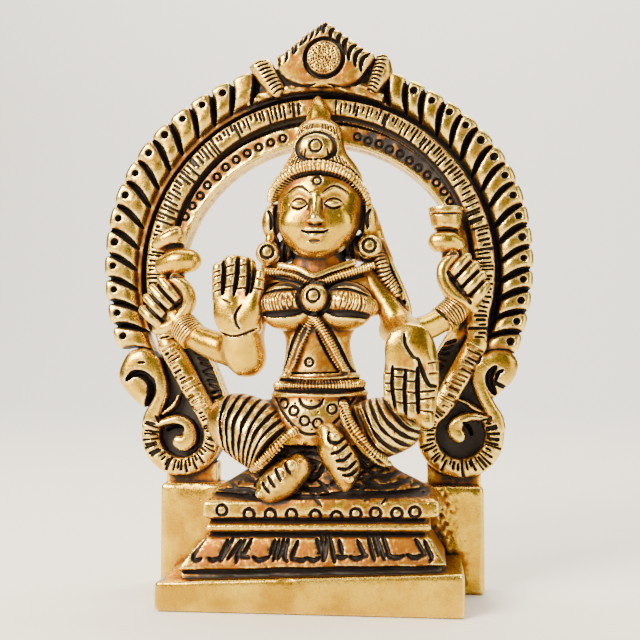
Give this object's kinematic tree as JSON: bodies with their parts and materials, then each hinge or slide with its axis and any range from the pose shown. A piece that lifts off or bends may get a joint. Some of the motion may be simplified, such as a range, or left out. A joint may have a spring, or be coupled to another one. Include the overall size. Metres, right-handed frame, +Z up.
{
  "type": "lakshmi figure with frame",
  "caption": "Small cast brass figure of a four-armed seated goddess on a stepped plinth, inside a horseshoe arch frame with scrolls.",
  "frame": {"origin": "on the surface it stands on, under the middle of the bounding box", "axes": "+Z up, the figure faces -Y, +X to the right of someone looking at the figure's face"},
  "size_m": [0.0978, 0.03, 0.128],
  "materials": {
    "cast_brass": "hand-finished cast brass, worn bright on the ridges, with dark patina in the carving"
  },
  "bodies": {
    "root": {"lakshmi_figure_with_frame": "cast_brass"}
  },
  "joints": []
}
